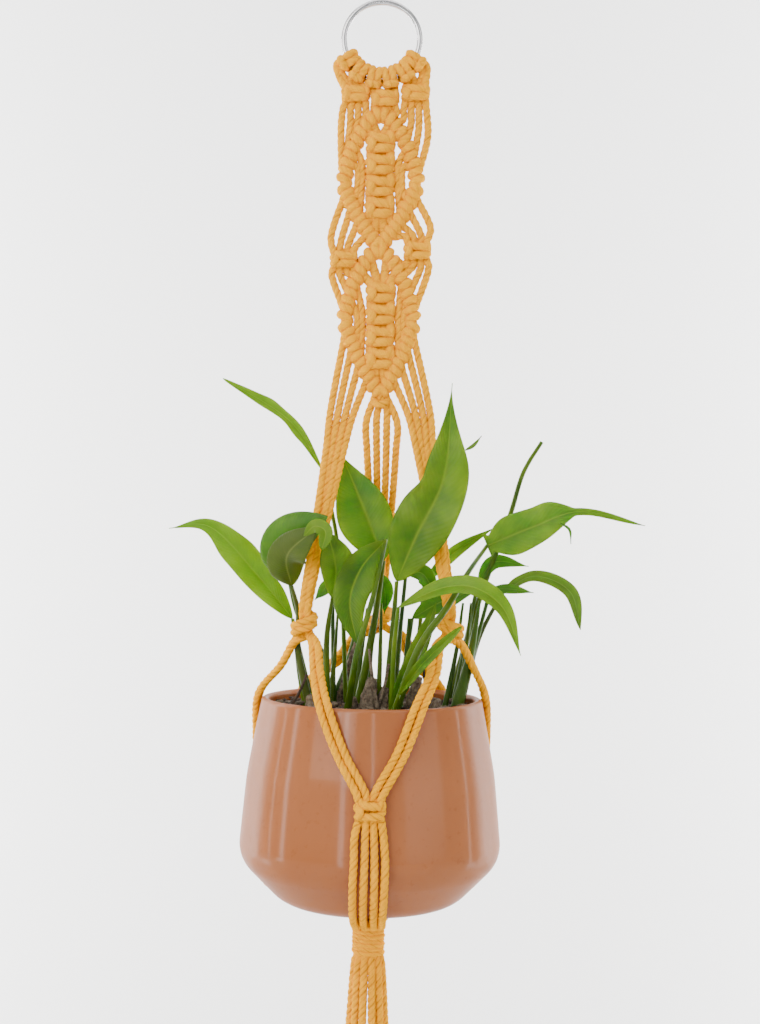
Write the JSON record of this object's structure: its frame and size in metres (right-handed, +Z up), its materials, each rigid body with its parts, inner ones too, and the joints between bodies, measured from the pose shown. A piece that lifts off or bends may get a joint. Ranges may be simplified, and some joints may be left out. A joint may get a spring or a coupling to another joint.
{
  "type": "hanging macrame planter",
  "caption": "Glazed plant pot with a leafy plant, held in a knotted mustard cord hanger that hangs from a steel ring and ends in a tassel.",
  "frame": {"origin": "hook seat: the top inside point of the ring's wire, where it rests on a hook", "axes": "+Z up, the front towards -Y, the ring lies in the XZ plane"},
  "size_m": [0.2934, 0.1683, 0.8401],
  "materials": {
    "ring": "polished steel wire",
    "cord": "three-ply twisted cotton",
    "pot": "glossy terracotta-coloured glaze",
    "soil": "damp potting soil and bark",
    "leaf": "waxy green leaf"
  },
  "bodies": {
    "ring": {"ring": "ring"},
    "ring_knots": {"larks_heads": "cord"},
    "hanger": {"arm_back": "cord", "arm_knot_back": "cord", "arm_knot_left": "cord", "arm_knot_right": "cord", "arm_left": "cord", "arm_right": "cord", "basket_knot_front": "cord", "basket_knot_left": "cord", "basket_knot_right": "cord", "basket_pairs_front": "cord", "basket_pairs_left": "cord", "basket_pairs_right": "cord", "inner_strands_lower": "cord", "inner_strands_upper": "cord", "lower_cords_front": "cord", "lower_cords_left": "cord", "lower_cords_right": "cord", "neck_strands": "cord", "rib_left_1": "cord", "rib_left_2": "cord", "rib_right_1": "cord", "rib_right_2": "cord", "sennit_lower": "cord", "sennit_upper": "cord", "side_knot_left": "cord", "side_knot_right": "cord", "side_strands": "cord", "square_knot_centre": "cord", "square_knot_left": "cord", "square_knot_right": "cord", "tie": "cord", "wrap": "cord"},
    "pot": {"pot": "pot", "soil": "soil", "leaf_01": "leaf", "leaf_02": "leaf", "leaf_03": "leaf", "leaf_04": "leaf", "leaf_05": "leaf", "leaf_06": "leaf", "leaf_07": "leaf", "leaf_08": "leaf", "leaf_09": "leaf", "leaf_10": "leaf", "leaf_11": "leaf", "young_leaves": "leaf"},
    "tassel": {"tassel_strand_01": "cord", "tassel_strand_02": "cord", "tassel_strand_03": "cord", "tassel_strand_04": "cord", "tassel_strand_05": "cord", "tassel_strand_06": "cord", "tassel_strand_07": "cord", "tassel_strand_08": "cord", "tassel_strand_09": "cord", "tassel_strand_10": "cord", "tassel_strand_11": "cord", "tassel_strand_12": "cord"}
  },
  "joints": [
    {"name": "side_sway", "type": "hinge", "parent": "ring", "child": "ring_knots", "pos_m": [0, 0, -0.0215], "axis": [0, 1, 0], "range_deg": [-30, 30]},
    {"name": "fore_aft_swing", "type": "hinge", "parent": "ring_knots", "child": "hanger", "pos_m": [0, 0, -0.0538], "axis": [1, 0, 0], "range_deg": [-20, 20]},
    {"name": "pot_turn", "type": "hinge", "parent": "hanger", "child": "pot", "pos_m": [0, 0, -0.5554], "axis": [0, 0, 1], "range_deg": [-120, 120], "deforming": ["leaf_01", "leaf_02", "leaf_03", "leaf_04", "leaf_05", "leaf_06", "leaf_07", "leaf_08", "leaf_09", "leaf_10", "leaf_11", "young_leaves"]},
    {"name": "tassel_swing", "type": "hinge", "parent": "hanger", "child": "tassel", "pos_m": [0, 0, -0.5885], "axis": [0, 1, 0], "range_deg": [-25, 25]}
  ]
}
